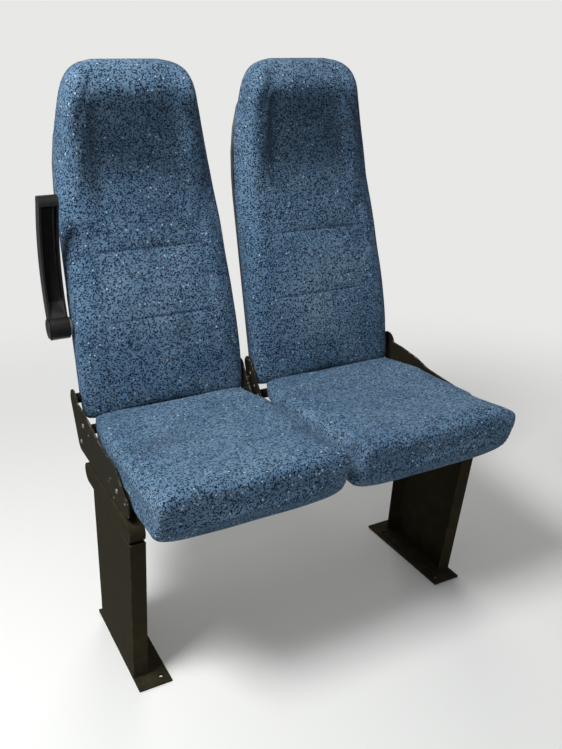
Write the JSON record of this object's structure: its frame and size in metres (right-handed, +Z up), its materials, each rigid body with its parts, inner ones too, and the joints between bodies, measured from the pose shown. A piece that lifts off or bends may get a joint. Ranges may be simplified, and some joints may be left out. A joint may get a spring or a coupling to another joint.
{
  "type": "double passenger seat",
  "caption": "High-backed double seat for a bus: cushions and winged backs in speckled blue cloth on a steel frame with raked legs and a folding armrest.",
  "frame": {"origin": "centre of the floor bolts, on the floor plane under the foot plates", "axes": "+Z up, the seats face -Y, the aisle and the armrest are on the -X side"},
  "size_m": [0.964, 0.759, 1.3583],
  "materials": {
    "seat_fabric": "flat woven plush, mid blue with dark navy and a few pale flecks, worn lighter on the edges",
    "leg_paint": "taupe grey powder coat, matt, dusty near the floor",
    "frame_paint": "black paint, satin",
    "plate_paint": "dark brown-black paint, dusty and scuffed",
    "board": "plywood stained dark",
    "shell_plastic": "dark grey grained plastic",
    "arm_plastic": "black moulded skin, slightly glossy",
    "pin_steel": "dark oxidised steel",
    "core_steel": "black painted steel bar"
  },
  "bodies": {
    "frame": {"foot_plate_aisle": "leg_paint", "foot_plate_window": "leg_paint", "leg_aisle": "leg_paint", "leg_window": "leg_paint", "head_rail_aisle": "leg_paint", "head_rail_window": "leg_paint", "cross_tube_front": "frame_paint", "cross_tube_rear": "frame_paint", "side_plate_aisle_outer": "plate_paint", "side_plate_aisle_inner": "plate_paint", "side_plate_window_inner": "plate_paint", "side_plate_window_outer": "plate_paint", "cushion_board_aisle": "board", "cushion_board_window": "board", "cushion_aisle": "seat_fabric", "cushion_window": "seat_fabric", "back_rails_aisle": "frame_paint", "back_rails_window": "frame_paint", "back_pad_aisle": "seat_fabric", "back_pad_window": "seat_fabric", "back_shell_aisle": "shell_plastic", "back_shell_window": "shell_plastic", "armrest_boss": "pin_steel", "armrest_pin": "pin_steel"},
    "armrest": {"armrest_core": "core_steel", "armrest_pad": "arm_plastic", "armrest_cap": "arm_plastic"}
  },
  "joints": [
    {"name": "armrest_fold", "type": "hinge", "parent": "frame", "child": "armrest", "pos_m": [-0.472, 0.265, 0.764], "axis": [1, 0, 0], "range_deg": [0, 85]}
  ]
}
